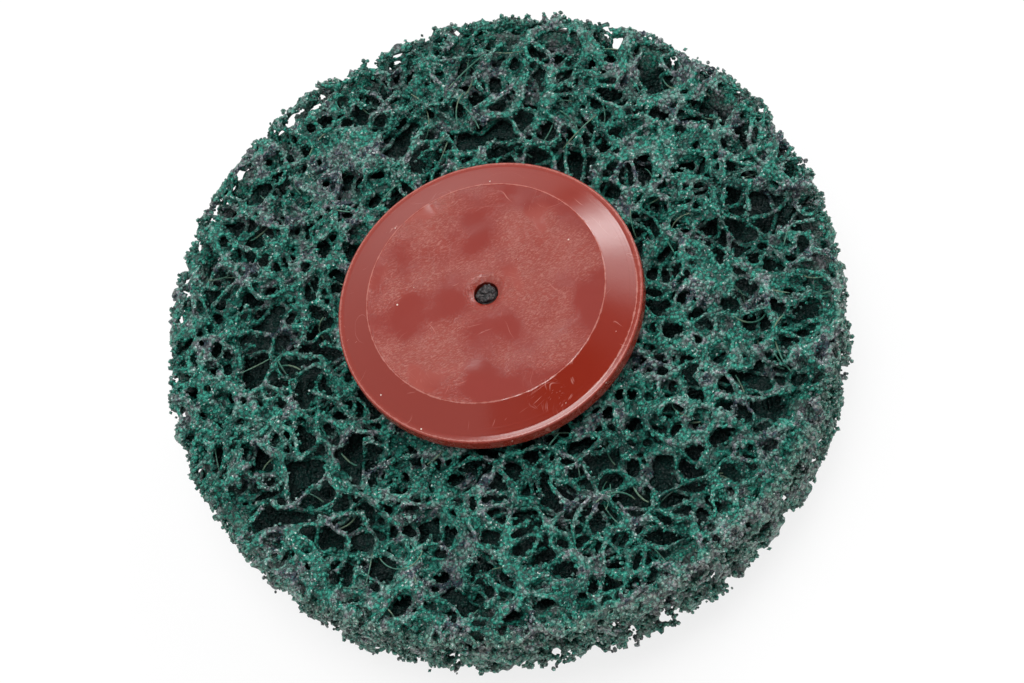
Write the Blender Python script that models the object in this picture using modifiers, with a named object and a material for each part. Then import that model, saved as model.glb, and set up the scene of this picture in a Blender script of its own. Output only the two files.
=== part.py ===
"""Surface conditioning disc with a quick-change threaded stud.

A die-cut disc of open, coiled filament web is clamped between a moulded front
cap, whose hub runs through the web, and a drive button with a rear flange, a
centre post and a coarse male thread. Units are metres, +Z points out of the
disc's front, and the origin is the centre of the stud's flat end.
"""

import math
import random

import bmesh
import bpy
from mathutils import Matrix, Vector, geometry, noise

MM = 0.001
CLEARANCE = 0.3 * MM

# Web
DISC_RADIUS = 50.0 * MM
CLAMPED_THICKNESS = 12.0 * MM
WEB_LOFT = 0.7 * MM
LOFT_WIDTH = 6.0 * MM
RIM_ROUND = 1.8 * MM
FACE_UNEVENNESS = 1.1 * MM
RIM_UNEVENNESS = 0.8 * MM
LUMP_SIZE = 9.0 * MM

# Cells of the web: a pore in each, with a strand of filament around it
FRONT_CELL = 7.4 * MM
REAR_CELL = 8.6 * MM
RIM_CELL = 9.0 * MM
CELL_SCATTER = 0.24
OPEN_SHARE = 0.95
STRAND_HALF_WIDTH = 0.75 * MM
STRAND_CROWN = 0.6 * MM
PORE_FLOOR = 1.0 * MM
SHALLOWEST_SHARE = 0.5
RIM_PORE_DEPTH = 2.4 * MM
PORE_TAPER = 0.22

# Front cap
CAP_RADIUS = 22.0 * MM
CAP_SIDE_HEIGHT = 2.1 * MM
CAP_RING_RISE = 2.35 * MM
CAP_FACE_RADIUS = 17.1 * MM
CAP_LIP_WIDTH = 0.9 * MM
CAP_EDGE_ROUND = 0.35 * MM
CAP_BOSS_RADIUS = 15.0 * MM
CAP_BOSS_HEIGHT = 1.5 * MM
CAP_HUB_RADIUS = 6.0 * MM
CAP_HUB_WALL = 2.2 * MM
CAP_HOLE_RADIUS = 1.75 * MM
CAP_DIMPLE_RADIUS = 2.9 * MM
CAP_DIMPLE_DEPTH = 0.45 * MM
CAP_ROOF = 3.0 * MM

# Drive button
FLANGE_RADIUS = 19.0 * MM
FLANGE_THICKNESS = 2.5 * MM
FLANGE_EDGE_ROUND = 0.8 * MM
FLANGE_RECESS_DEPTH = 0.7 * MM
FLANGE_RECESS_INNER = 9.0 * MM
FLANGE_RECESS_OUTER = 16.0 * MM
POST_RECESS = 0.5 * MM

# Male quick-change stud
STUD_LENGTH = 7.3 * MM
STUD_CORE_RADIUS = 3.9 * MM
STUD_END_CHAMFER = 0.3 * MM
STUD_ROOT_ROUND = 0.8 * MM
THREAD_RADIUS = 4.85 * MM
THREAD_PITCH = 3.2 * MM
THREAD_TURNS = 1.5
THREAD_ROOT_WIDTH = 2.0 * MM
THREAD_CREST_WIDTH = 0.8 * MM
THREAD_END_GAP = 1.5 * MM
THREAD_BITE = 0.5 * MM

# Facets
HOLE_SEGMENTS = 36
CAP_SEGMENTS = 60
BUTTON_SEGMENTS = 48
THREAD_STEPS = 30
ARC_STEPS = 3
MERGE = 0.01 * MM

# Levels along the axis, from the stud's end to the cap's face
FLANGE_REAR = STUD_LENGTH
FLANGE_FRONT = FLANGE_REAR + FLANGE_THICKNESS
WEB_REAR = FLANGE_FRONT + CLEARANCE
WEB_FRONT = WEB_REAR + CLAMPED_THICKNESS
LOOSE_REAR = WEB_REAR - WEB_LOFT
LOOSE_FRONT = WEB_FRONT + WEB_LOFT
BOSS_REAR = WEB_FRONT + CLEARANCE
LIP_REAR = BOSS_REAR + CAP_BOSS_HEIGHT
LIP_FRONT = LIP_REAR + CAP_SIDE_HEIGHT
CAP_FACE = LIP_FRONT + CAP_RING_RISE

# Radii that follow the piece they fit
WEB_HOLE_RADIUS = CAP_HUB_RADIUS + CLEARANCE
CLAMP_RADIUS = max(CAP_BOSS_RADIUS, FLANGE_RADIUS) + 2 * CLEARANCE
CAP_BORE_RADIUS = CAP_HUB_RADIUS - CAP_HUB_WALL
POST_RADIUS = CAP_BORE_RADIUS - CLEARANCE
POST_TIP_RADIUS = CAP_HOLE_RADIUS - CLEARANCE
BORE_END = CAP_FACE - CAP_ROOF

# Deepest pore that leaves a floor between the two faces of the web
PORE_DEPTH = (CLAMPED_THICKNESS - PORE_FLOOR) / 2 - FACE_UNEVENNESS - STRAND_CROWN


def plastic(name, color, roughness):
    """Return a Principled material for one sub-part."""
    material = bpy.data.materials.new(name)
    material.use_nodes = True
    shader = material.node_tree.nodes["Principled BSDF"]
    shader.inputs["Base Color"].default_value = (*color, 1.0)
    shader.inputs["Roughness"].default_value = roughness
    shader.inputs["Metallic"].default_value = 0.0
    return material


def arc(centre_r, centre_z, radius, start_deg, end_deg):
    """Return the (r, z) points of an arc of a turned profile."""
    points = []
    for step in range(ARC_STEPS + 1):
        angle = math.radians(start_deg + (end_deg - start_deg) * step / ARC_STEPS)
        points.append((centre_r + radius * math.cos(angle),
                       centre_z + radius * math.sin(angle)))
    return points


def turned(name, profile, segments, collection):
    """Turn a closed (r, z) profile about +Z with a Screw modifier."""
    mesh = bpy.data.meshes.new(name)
    verts = [(r, 0.0, z) for r, z in profile]
    edges = [(i, (i + 1) % len(verts)) for i in range(len(verts))]
    mesh.from_pydata(verts, edges, [])
    piece = bpy.data.objects.new(name, mesh)
    collection.objects.link(piece)
    screw = piece.modifiers.new("turn", "SCREW")
    screw.axis = "Z"
    screw.angle = math.tau
    screw.steps = segments
    screw.render_steps = segments
    screw.use_merge_vertices = True
    screw.merge_threshold = MERGE
    screw.use_smooth_shade = True
    return piece


def applied(piece, collection):
    """Return a plain mesh copy of an object with its modifiers applied."""
    bpy.context.view_layer.update()
    graph = bpy.context.evaluated_depsgraph_get()
    mesh = bpy.data.meshes.new_from_object(piece.evaluated_get(graph))
    name = piece.name
    bpy.data.objects.remove(piece)
    mesh.name = name
    copy = bpy.data.objects.new(name, mesh)
    collection.objects.link(copy)
    return copy


def add_boolean(piece, tool, operation):
    """Put an exact Boolean of a guide object on a piece."""
    boolean = piece.modifiers.new(tool.name, "BOOLEAN")
    boolean.operation = operation
    boolean.solver = "EXACT"
    boolean.object = tool


def as_guide(piece):
    """Hide a cutter or a joining shape from the finished model."""
    piece.hide_render = True
    piece.display_type = "WIRE"


def shade(piece, angle_deg):
    """Shade a turned piece smooth and keep its real edges sharp."""
    piece.data.shade_smooth()
    piece.data.set_sharp_from_angle(angle=math.radians(angle_deg))


def sunflower(radius, spacing, chance):
    """Return scattered points, evenly dense, over a round face."""
    count = int(math.pi * radius ** 2 / spacing ** 2)
    golden = math.pi * (3.0 - math.sqrt(5.0))
    points = []
    for index in range(count):
        reach = radius * math.sqrt((index + 0.5) / count)
        spot = Vector((reach, 0.0)) @ Matrix.Rotation(index * golden, 2)
        spot += spacing * CELL_SCATTER * Vector((chance.uniform(-1, 1), chance.uniform(-1, 1)))
        points.append(spot)
    return points


def ring(radius, level, count, offset):
    """Return a level ring of points around the axis."""
    turns = [math.tau * (index + offset) / count for index in range(count)]
    return [Vector((radius * math.cos(a), radius * math.sin(a), level)) for a in turns]


def add_face_net(net, edge, level, spacing, chance):
    """Fill a ring of corners with triangles whose other corners are scattered."""
    reach = DISC_RADIUS - RIM_ROUND - 0.55 * spacing
    loose = sunflower(reach, spacing, chance)
    flat = [corner.co.xy for corner in edge] + loose
    corners = list(edge) + [net.verts.new((*spot, level)) for spot in loose]
    triangles = geometry.delaunay_2d_cdt(flat, [], [], 0, MERGE)
    for triangle in triangles[2]:
        net.faces.new([corners[triangles[3][index][0]] for index in triangle])


def cell_net():
    """Return a closed net of triangles around the web, one corner for each cell."""
    chance = random.Random(11)
    net = bmesh.new()
    count = int(math.tau * DISC_RADIUS / RIM_CELL)
    inset = 0.3 * RIM_ROUND
    rings = [ring(DISC_RADIUS - inset, LOOSE_FRONT - inset, count, 0.0),
             ring(DISC_RADIUS, (LOOSE_FRONT + LOOSE_REAR) / 2, count, 0.5),
             ring(DISC_RADIUS - inset, LOOSE_REAR + inset, count, 0.0)]
    front, middle, rear = [[net.verts.new(place) for place in line] for line in rings]
    for index in range(count):
        after = (index + 1) % count
        for side in (front, rear):
            net.faces.new((side[index], side[after], middle[index]))
            net.faces.new((side[after], middle[index], middle[after]))
    add_face_net(net, front, LOOSE_FRONT, FRONT_CELL, chance)
    add_face_net(net, rear, LOOSE_REAR, REAR_CELL, chance)
    bmesh.ops.recalc_face_normals(net, faces=net.faces)
    return net


def on_section(place):
    """Return the point of the web's rounded outline that is nearest to a place."""
    radius = math.hypot(place.x, place.y)
    core_radius = min(radius, DISC_RADIUS - RIM_ROUND)
    core_level = min(max(place.z, LOOSE_REAR + RIM_ROUND), LOOSE_FRONT - RIM_ROUND)
    out = Vector((radius - core_radius, place.z - core_level)).normalized() * RIM_ROUND
    grown = (core_radius + out.x) / radius
    return Vector((place.x * grown, place.y * grown, core_level + out.y))


def settled(place):
    """Return a point of the web's outline, squeezed by the clamp and sunk unevenly."""
    radius = math.hypot(place.x, place.y)
    side = math.copysign(1.0, place.z - (LOOSE_FRONT + LOOSE_REAR) / 2)
    loose = max(0.0, min(1.0, (radius - CLAMP_RADIUS) / LOFT_WIDTH))
    squeeze = side * WEB_LOFT * (1.0 - loose * loose * (3.0 - 2.0 * loose))
    if radius < CLAMP_RADIUS:
        return Vector((place.x, place.y, place.z - squeeze))
    wave = noise.noise(place / LUMP_SIZE)
    depth = max(0.0, min(1.0, 0.5 + wave))
    rim_share = max(0.0, min(1.0, 1.0 - (DISC_RADIUS - radius) / RIM_ROUND))
    inward = 1.0 - depth * RIM_UNEVENNESS * rim_share / radius
    drop = side * depth * FACE_UNEVENNESS * (1.0 - rim_share)
    return Vector((place.x * inward, place.y * inward, place.z - squeeze - drop))


def cells_of(net):
    """Return the cells of a closed net: a face around each of its corners."""
    cells = bmesh.new()
    middles = {face: cells.verts.new(settled(on_section(face.calc_center_median())))
               for face in net.faces}
    for corner in net.verts:
        around = []
        loop = first = corner.link_loops[0]
        while True:
            around.append(middles[loop.face])
            loop = loop.link_loop_prev.link_loop_radial_next
            if loop == first:
                break
        cells.faces.new(around)
    net.free()
    bmesh.ops.recalc_face_normals(cells, faces=cells.faces)
    return cells


def cell_reach(cell):
    """Return the distance from a cell's middle to its nearest side."""
    middle = cell.calc_center_median()
    spans = []
    for edge in cell.edges:
        start, end = (vert.co for vert in edge.verts)
        foot, _share = geometry.intersect_point_line(middle, start, end)
        spans.append((foot - middle).length)
    return min(spans)


def open_pores(cells):
    """Sink a pore into most loose cells, inside a crowned strand."""
    chance = random.Random(5)
    for cell in list(cells.faces):
        middle = cell.calc_center_median()
        radius = math.hypot(middle.x, middle.y)
        reach = cell_reach(cell)
        if radius - reach < CLAMP_RADIUS or chance.random() > OPEN_SHARE:
            continue
        deepest = RIM_PORE_DEPTH if radius > DISC_RADIUS - RIM_ROUND else PORE_DEPTH
        depth = deepest * chance.uniform(SHALLOWEST_SHARE, 1.0)
        strand = min(STRAND_HALF_WIDTH, 0.4 * reach)
        bmesh.ops.inset_individual(cells, faces=[cell], thickness=strand,
                                   depth=-STRAND_CROWN, use_even_offset=True)
        bmesh.ops.inset_individual(cells, faces=[cell], thickness=PORE_TAPER * reach,
                                   depth=-depth, use_even_offset=True)


def hub_hole(guides):
    """Return the cutter for the hole that the cap's hub passes through."""
    bpy.ops.mesh.primitive_cylinder_add(vertices=HOLE_SEGMENTS, radius=WEB_HOLE_RADIUS,
                                        depth=2 * CLAMPED_THICKNESS,
                                        location=(0.0, 0.0, (WEB_FRONT + WEB_REAR) / 2))
    cutter = bpy.context.object
    cutter.name = "hub_hole"
    for home in list(cutter.users_collection):
        home.objects.unlink(cutter)
    guides.objects.link(cutter)
    as_guide(cutter)
    return cutter


def build_web(collection, guides):
    """Model the open web as one lumpy disc of strands around pores."""
    cells = cells_of(cell_net())
    open_pores(cells)
    mesh = bpy.data.meshes.new("abrasive_web")
    cells.to_mesh(mesh)
    cells.free()
    web = bpy.data.objects.new("abrasive_web", mesh)
    collection.objects.link(web)
    add_boolean(web, hub_hole(guides), "DIFFERENCE")
    mesh.materials.append(plastic("web_green", (0.02, 0.16, 0.12), 0.7))
    return web


def build_cap(collection):
    """Model the front cap with its hub as one turned moulding."""
    edge = CAP_EDGE_ROUND
    profile = [(CAP_HOLE_RADIUS, CAP_FACE - CAP_DIMPLE_DEPTH),
               (CAP_DIMPLE_RADIUS, CAP_FACE),
               (CAP_FACE_RADIUS, CAP_FACE),
               (CAP_RADIUS - CAP_LIP_WIDTH, LIP_FRONT)]
    profile += arc(CAP_RADIUS - edge, LIP_FRONT - edge, edge, 90, 0)
    profile += arc(CAP_RADIUS - edge, LIP_REAR + edge, edge, 0, -90)
    profile += [(CAP_BOSS_RADIUS, LIP_REAR),
                (CAP_BOSS_RADIUS, BOSS_REAR),
                (CAP_HUB_RADIUS, BOSS_REAR),
                (CAP_HUB_RADIUS, WEB_REAR),
                (CAP_BORE_RADIUS, WEB_REAR),
                (CAP_BORE_RADIUS, BORE_END),
                (CAP_HOLE_RADIUS, BORE_END)]
    cap = applied(turned("front_cap", profile, CAP_SEGMENTS, collection), collection)
    shade(cap, 25)
    cap.data.materials.append(plastic("cap_red_brown", (0.30, 0.07, 0.045), 0.25))
    return cap


def button_profile():
    """Return the drive button's section: post, flange and stud core."""
    chamfer = STUD_END_CHAMFER
    root = STUD_ROOT_ROUND
    profile = [(0.0, CAP_FACE - CAP_DIMPLE_DEPTH - POST_RECESS),
               (POST_TIP_RADIUS, CAP_FACE - CAP_DIMPLE_DEPTH - POST_RECESS),
               (POST_TIP_RADIUS, BORE_END - CLEARANCE),
               (POST_RADIUS, BORE_END - CLEARANCE),
               (POST_RADIUS, FLANGE_FRONT)]
    edge = FLANGE_EDGE_ROUND
    profile += arc(FLANGE_RADIUS - edge, FLANGE_FRONT - edge, edge, 90, 0)
    profile += arc(FLANGE_RADIUS - edge, FLANGE_REAR + edge, edge, 0, -90)
    profile += [(FLANGE_RECESS_OUTER, FLANGE_REAR),
                (FLANGE_RECESS_OUTER - FLANGE_RECESS_DEPTH, FLANGE_REAR + FLANGE_RECESS_DEPTH),
                (FLANGE_RECESS_INNER + FLANGE_RECESS_DEPTH, FLANGE_REAR + FLANGE_RECESS_DEPTH),
                (FLANGE_RECESS_INNER, FLANGE_REAR)]
    profile += arc(STUD_CORE_RADIUS + root, FLANGE_REAR - root, root, 90, 180)
    profile += [(STUD_CORE_RADIUS, chamfer),
                (STUD_CORE_RADIUS - chamfer, 0.0),
                (0.0, 0.0)]
    return profile


def thread_ridge(guides):
    """Return the stud's helical ridge as one closed guide solid."""
    middle = THREAD_END_GAP + THREAD_ROOT_WIDTH / 2
    inner = STUD_CORE_RADIUS - THREAD_BITE
    section = [(inner, middle - THREAD_ROOT_WIDTH / 2),
               (THREAD_RADIUS, middle - THREAD_CREST_WIDTH / 2),
               (THREAD_RADIUS, middle + THREAD_CREST_WIDTH / 2),
               (inner, middle + THREAD_ROOT_WIDTH / 2)]
    shape = bmesh.new()
    start = shape.faces.new([shape.verts.new((r, 0.0, z)) for r, z in section])
    steps = int(THREAD_STEPS * THREAD_TURNS)
    bmesh.ops.spin(shape, geom=[start, *start.edges, *start.verts], cent=(0.0, 0.0, 0.0),
                   axis=(0.0, 0.0, 1.0), dvec=(0.0, 0.0, THREAD_PITCH * THREAD_TURNS / steps),
                   angle=math.tau * THREAD_TURNS, steps=steps, use_duplicate=False)
    bmesh.ops.remove_doubles(shape, verts=shape.verts, dist=MERGE)
    bmesh.ops.recalc_face_normals(shape, faces=shape.faces)
    mesh = bpy.data.meshes.new("thread_ridge")
    shape.to_mesh(mesh)
    shape.free()
    ridge = bpy.data.objects.new("thread_ridge", mesh)
    guides.objects.link(ridge)
    as_guide(ridge)
    return ridge


def build_button(collection, guides):
    """Model the drive button: flange, centre post and threaded stud."""
    button = applied(turned("drive_button", button_profile(), BUTTON_SEGMENTS, collection),
                     collection)
    shade(button, 25)
    add_boolean(button, thread_ridge(guides), "UNION")
    button.data.materials.append(plastic("button_black", (0.03, 0.03, 0.032), 0.45))
    return button


def main():
    """Build the whole disc."""
    for old in list(bpy.data.objects):
        bpy.data.objects.remove(old)
    collection = bpy.data.collections.new("surface_conditioning_disc")
    guides = bpy.data.collections.new("guides")
    bpy.context.scene.collection.children.link(collection)
    bpy.context.scene.collection.children.link(guides)
    frame = bpy.data.objects.new("disc_frame", None)
    collection.objects.link(frame)
    pieces = [build_web(collection, guides), build_cap(collection),
              build_button(collection, guides)]
    for piece in pieces:
        piece.parent = frame


main()
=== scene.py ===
"""Surface conditioning disc: an open filament web held by a front cap and a threaded button.

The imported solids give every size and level. This script models the finished surfaces around
them: the web of resin-coated filaments, the moulded cap with its scuffs, and the button.
"""

from __future__ import annotations

import logging
import math
import random
from dataclasses import dataclass, field
from enum import Enum
from typing import Iterable

import bmesh
import bpy
import numpy as np
from mathutils import Matrix, Vector, kdtree, noise


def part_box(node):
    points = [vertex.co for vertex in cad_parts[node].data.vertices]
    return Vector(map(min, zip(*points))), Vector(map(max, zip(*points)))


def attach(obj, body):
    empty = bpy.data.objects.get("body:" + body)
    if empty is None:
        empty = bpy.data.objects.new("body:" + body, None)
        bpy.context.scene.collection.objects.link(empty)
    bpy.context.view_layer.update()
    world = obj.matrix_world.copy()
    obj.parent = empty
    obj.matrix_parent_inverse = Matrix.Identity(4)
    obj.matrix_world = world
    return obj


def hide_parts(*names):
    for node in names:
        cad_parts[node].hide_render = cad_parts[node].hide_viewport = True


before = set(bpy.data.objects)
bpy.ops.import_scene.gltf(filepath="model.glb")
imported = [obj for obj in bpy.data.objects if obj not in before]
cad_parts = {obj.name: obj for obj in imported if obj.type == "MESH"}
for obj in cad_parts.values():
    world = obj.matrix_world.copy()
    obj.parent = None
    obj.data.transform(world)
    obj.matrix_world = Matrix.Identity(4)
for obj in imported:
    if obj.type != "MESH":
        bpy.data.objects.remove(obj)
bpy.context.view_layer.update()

LOG = logging.getLogger("disc")
MM = 0.001
BODY = "root"
IMAGE_SIZE = (1024, 683)

Pair = tuple[float, float]
Triple = tuple[float, float, float]
Color = Triple
Polyline = list[tuple[Vector, float]]
Profile = list[Pair]
Inputs = dict[str | int, object]
Piece, Mesh, Material = bpy.types.Object, bpy.types.Mesh, bpy.types.Material
Tree, Node, Socket = bpy.types.NodeTree, bpy.types.Node, bpy.types.NodeSocket
Shape = bmesh.types.BMesh


def node_span(node: str) -> Triple:
    """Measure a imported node.

    Args:
        node: The node's name.

    Returns:
        Its outer radius, lowest level and highest level, in millimetres.
    """
    low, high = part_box(node)
    radius = max(high[0] - low[0], high[1] - low[1]) / 2
    return radius / MM, low[2] / MM, high[2] / MM


class Slot(Enum):
    """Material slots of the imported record."""

    WEB = "web"
    CAP = "cap"
    BUTTON = "button"


def eased(share: float) -> float:
    """Return a share, held within 0 and 1, with a smooth start and end."""
    share = max(0.0, min(1.0, share))
    return share * share * (3.0 - 2.0 * share)


def polar(reach: float, turn: float, level: float) -> Vector:
    """Return the point at a distance and an angle about the disc's axis."""
    return Vector((reach * math.cos(turn), reach * math.sin(turn), level))


def any_way(chance: random.Random) -> Vector:
    """Return a random direction, of any length."""
    return Vector([chance.gauss(0.0, 1.0) for _ in range(3)])


def swirl(place: Vector) -> Vector:
    """Return a smooth random vector for a point."""
    return Vector([noise.noise(place + Vector((shift, -shift, 0.5 * shift)))
                   for shift in (3.1, 17.7, 41.3)])


def linked(name: str, data: bpy.types.ID) -> Piece:
    """Return a new object of the scene that holds a mesh, curve or camera."""
    piece = bpy.data.objects.new(name, data)
    bpy.context.scene.collection.objects.link(piece)
    return piece


def baked(piece: Piece) -> Piece:
    """Return a plain mesh object made from an object and its modifiers.

    Args:
        piece: A curve or mesh object. It is removed.

    Returns:
        The new object, with the same name.
    """
    bpy.context.view_layer.update()
    graph = bpy.context.evaluated_depsgraph_get()
    mesh = bpy.data.meshes.new_from_object(piece.evaluated_get(graph))
    name = piece.name
    bpy.data.objects.remove(piece)
    mesh.name = name
    return linked(name, mesh)


def wires(name: str, lines: Iterable[Polyline], bevel: int) -> Piece:
    """Return closed tubes along lines as one mesh, in millimetres.

    Args:
        name: The object's name.
        lines: Places and radii along each tube.
        bevel: The resolution of the tubes' section.
    """
    data = bpy.data.curves.new(name, "CURVE")
    data.dimensions = "3D"
    data.bevel_depth = 1.0
    data.bevel_resolution = bevel
    data.use_fill_caps = True
    for line in lines:
        points = data.splines.new("POLY").points
        points.add(len(line) - 1)
        points.foreach_set("co", [value for place, _ in line for value in (*place, 1.0)])
        points.foreach_set("radius", [radius for _, radius in line])
    return baked(linked(name, data))


def tree_of(points: Iterable[Iterable[float]]) -> kdtree.KDTree:
    """Return a search tree over points, which gives their numbers."""
    points = [Vector(point) for point in points]
    tree = kdtree.KDTree(len(points))
    for index, point in enumerate(points):
        tree.insert(point, index)
    tree.balance()
    return tree


def fuse(piece: Piece, voxel: float) -> None:
    """Make one skin of the overlapping parts of a piece."""
    remesh = piece.modifiers.new("fuse", "REMESH")
    remesh.mode = "VOXEL"
    remesh.voxel_size = voxel


def set_grain(mesh: Mesh, values: Iterable[float], domain: str = "POINT") -> None:
    """Write each corner's or face's kind of crumb, which its material reads."""
    mesh.attributes.new("grain", "FLOAT", domain).data.foreach_set("value", values)


def to_metres(mesh: Mesh) -> None:
    """Scale a mesh from millimetres and shade it smooth."""
    mesh.transform(Matrix.Scale(MM, 4))
    mesh.shade_smooth()


class Nodes:
    """A small writer of shader nodes that keeps scripts of nodes short."""

    def __init__(self, tree: Tree) -> None:
        """Take the node tree to write into."""
        self.tree = tree

    def add(self, kind: str, inputs: Inputs | None = None, **values: object) -> Node:
        """Add a node, set its properties and then feed its inputs."""
        node = self.tree.nodes.new(kind)
        for name, value in values.items():
            setattr(node, name, value)
        for socket, value in (inputs or {}).items():
            self.feed(node, socket, value)
        return node

    def link(self, source: Socket, target: Socket) -> None:
        """Link two sockets."""
        self.tree.links.new(source, target)

    def feed(self, node: Node, socket: str | int, value: object) -> None:
        """Set a node's input to a value or a colour, or link it to another socket."""
        target = node.inputs[socket]
        if isinstance(value, Socket):
            self.link(value, target)
        else:
            target.default_value = (*value, 1.0) if target.type == "RGBA" else value

    def math(self, operation: str, first: object, second: object = 0.0) -> Socket:
        """Return the result of a maths node on two values."""
        return self.add("ShaderNodeMath", {0: first, 1: second}, operation=operation).outputs[0]

    def times(self, *factors: object) -> Socket:
        """Return the product of several values."""
        value = factors[0]
        for factor in factors[1:]:
            value = self.math("MULTIPLY", value, factor)
        return value

    def mix(self, factor: object, first: object, second: object) -> Socket:
        """Return the mix of two colours."""
        return self.add("ShaderNodeMix", {0: factor, 6: first, 7: second},
                        data_type="RGBA").outputs[2]

    def tinted(self, color: object, *rows: tuple[object, float, float, float, object]) -> Socket:
        """Return a colour with tints laid over it.

        Args:
            color: The colour below.
            rows: For each tint, the value that lays it, where that starts and where it is
                full, its greatest share and its colour.
        """
        for value, low, high, most, tint in rows:
            color = self.mix(self.span(value, low, high, 0.0, most), color, tint)
        return color

    def span(self, value: object, low: float, high: float, to_low: float = 0.0,
             to_high: float = 1.0) -> Socket:
        """Return a value mapped from one range to another, clamped and smooth."""
        return self.add("ShaderNodeMapRange", {0: value, 1: low, 2: high, 3: to_low, 4: to_high},
                        interpolation_type="SMOOTHSTEP").outputs[0]

    def noise(self, place: Socket, scale: float, detail: float = 2.0,
              rough: float = 0.5) -> Socket:
        """Return the value of a noise texture."""
        return self.add("ShaderNodeTexNoise", {"Vector": place, "Scale": scale, "Detail": detail,
                                               "Roughness": rough}).outputs["Fac"]

    def cells(self, place: Socket, scale: float) -> Node:
        """Return a Voronoi texture node."""
        return self.add("ShaderNodeTexVoronoi", {"Vector": place, "Scale": scale})

    def mapped(self, place: Socket, turn: Triple = (0.0, 0.0, 0.0),
               scale: Triple = (1.0, 1.0, 1.0), shift: Triple = (0.0, 0.0, 0.0)) -> Socket:
        """Return coordinates that are scaled, turned and moved by a Mapping node."""
        return self.add("ShaderNodeMapping", {"Vector": place, "Rotation": turn, "Scale": scale,
                                              "Location": shift}).outputs[0]

    def split(self, vector: Socket) -> list[Socket]:
        """Return the X, Y and Z of a vector."""
        return list(self.add("ShaderNodeSeparateXYZ", {0: vector}).outputs)

    def joined(self, *parts: object) -> Socket:
        """Return a vector made of three values."""
        return self.add("ShaderNodeCombineXYZ", dict(enumerate(parts))).outputs[0]

    def channels(self, color: Socket) -> list[Socket]:
        """Return a colour's three channels, which a cell pattern fills with chance."""
        return list(self.add("ShaderNodeSeparateColor", {0: color}).outputs)

    def total(self, *terms: tuple[object, float]) -> Socket:
        """Return the sum of several values, each times its weight."""
        value: object = 0.0
        for term, weight in terms:
            value = self.add("ShaderNodeMath", {0: term, 1: weight, 2: value},
                             operation="MULTIPLY_ADD").outputs[0]
        return value

    def dome(self, cells: Node, edge: float) -> Socket:
        """Return a rounded height over each cell, 1 in its middle and 0 at its edge."""
        share = self.math("DIVIDE", cells.outputs["Distance"], edge)
        bowl = self.math("MINIMUM", self.times(share, share), 1.0)
        return self.math("SUBTRACT", 1.0, bowl)

    def attribute(self, name: str) -> Socket:
        """Return a value that the mesh carries at its vertices."""
        return self.add("ShaderNodeAttribute", attribute_name=name).outputs["Fac"]

    def reach(self, place: Socket) -> Socket:
        """Return the distance of a place from the disc's axis."""
        across, along, _ = self.split(place)
        squares = self.math("ADD", self.times(across, across), self.times(along, along))
        return self.math("SQRT", squares)

    def group(self, tree: Tree, **values: object) -> Node:
        """Place a node group and set or link its inputs."""
        inputs = {name.capitalize(): value for name, value in values.items()}
        return self.add("ShaderNodeGroup", inputs, node_tree=tree)


class Finish:
    """A material with a Principled shader and Object coordinates in millimetres."""

    def __init__(self, name: str) -> None:
        """Start an empty finish.

        Args:
            name: The material's name.
        """
        self.material = bpy.data.materials.new(name)
        self.material.use_nodes = True
        self.nodes = Nodes(self.material.node_tree)
        self.shader = self.material.node_tree.nodes["Principled BSDF"]
        coordinates = self.nodes.add("ShaderNodeTexCoord")
        self.place = self.nodes.mapped(coordinates.outputs["Object"], scale=(1.0 / MM,) * 3)

    def set(self, socket: str, value: object) -> None:
        """Set or link one socket of the shader."""
        self.nodes.feed(self.shader, socket, value)

    def bump(self, height: Socket, distance: float, strength: float = 1.0) -> None:
        """Feed the shader's normal from a height in millimetres."""
        node = self.nodes.add("ShaderNodeBump", {"Height": height, "Distance": distance * MM,
                                                 "Strength": strength})
        self.set("Normal", node.outputs[0])


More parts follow.
